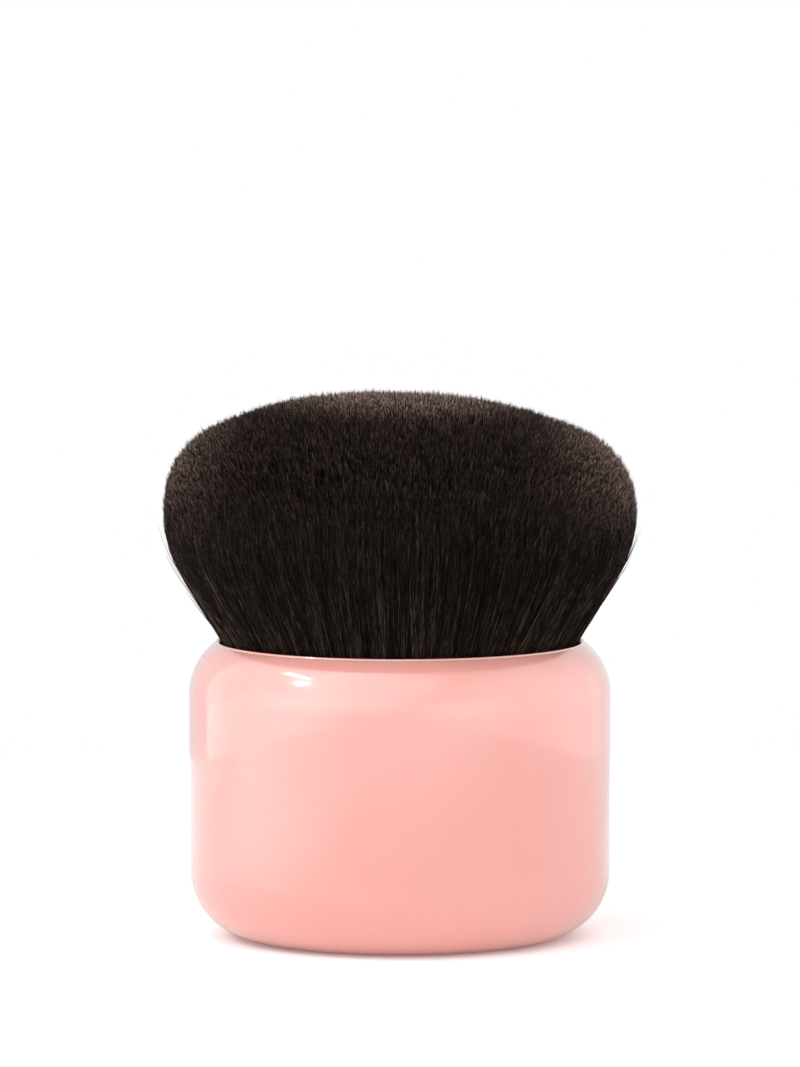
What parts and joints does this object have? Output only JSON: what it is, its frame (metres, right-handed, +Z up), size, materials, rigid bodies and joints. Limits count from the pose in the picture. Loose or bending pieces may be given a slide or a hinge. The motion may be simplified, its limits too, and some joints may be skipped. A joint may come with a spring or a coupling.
{
  "type": "kabuki makeup brush",
  "caption": "Short round makeup brush: a glossy moulded handle with soft rounded shoulder and base, and a wide domed head of dense bristles for dusting loose powder.",
  "frame": {"origin": "middle of the foot ring, on the surface that the brush stands on", "axes": "+Z up along the brush's axis from foot to crown; X and Y are alike on this round object, and the picture looks along +Y"},
  "size_m": [0.0624, 0.0624, 0.0721],
  "materials": {
    "handle_gloss": "glossy, light pink",
    "foam": "matt foam",
    "weight_steel": "plain turned steel",
    "cup_plastic": "matt black",
    "potting": "cured resin, amber",
    "band_metal": "plain strip",
    "bristle": "soft fine fibres, dark brown with paler tips"
  },
  "bodies": {
    "root": {"handle_shell": "handle_gloss", "weight_pad": "foam", "weight_disc": "weight_steel", "bristle_cup": "cup_plastic", "glue_plug": "potting", "binding_band": "band_metal", "bristle_head": "bristle"}
  },
  "joints": []
}
